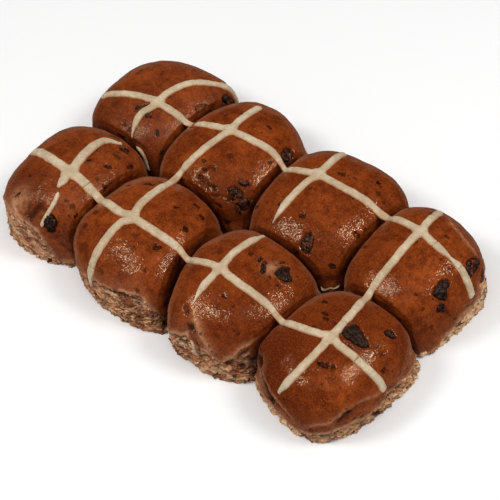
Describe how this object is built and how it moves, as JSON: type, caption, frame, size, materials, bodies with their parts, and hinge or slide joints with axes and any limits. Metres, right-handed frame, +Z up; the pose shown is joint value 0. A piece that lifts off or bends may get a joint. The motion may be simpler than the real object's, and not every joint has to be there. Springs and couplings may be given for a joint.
{
  "type": "hot cross bun slab",
  "caption": "Batch of chocolate-chip hot cross buns baked joined in a slab, with piped crosses running from bun to bun.",
  "frame": {"origin": "centre of the slab's underside, on the surface that it rests on", "axes": "+X along the long rows of buns, +Y from the front row to the back row, +Z up"},
  "size_m": [0.2908, 0.169, 0.0499],
  "materials": {
    "crust": "baked brown crust with a broken sugar-glaze gloss, torn to light tan crumb round the free sides",
    "cross_paste": "matt baked flour paste, cream",
    "chocolate": "dark baked chocolate, rough with small glints"
  },
  "bodies": {
    "root": {"bun_front_1": "crust", "bun_front_2": "crust", "bun_front_3": "crust", "bun_front_4": "crust", "bun_back_1": "crust", "bun_back_2": "crust", "bun_back_3": "crust", "bun_back_4": "crust", "cross_front_1": "cross_paste", "cross_front_2": "cross_paste", "cross_front_3": "cross_paste", "cross_front_4": "cross_paste", "cross_back_1": "cross_paste", "cross_back_2": "cross_paste", "cross_back_3": "cross_paste", "cross_back_4": "cross_paste", "chip_01": "chocolate", "chip_02": "chocolate", "chip_03": "chocolate", "chip_04": "chocolate", "chip_05": "chocolate", "chip_06": "chocolate", "chip_07": "chocolate", "chip_08": "chocolate", "chip_09": "chocolate", "chip_10": "chocolate"}
  },
  "joints": []
}
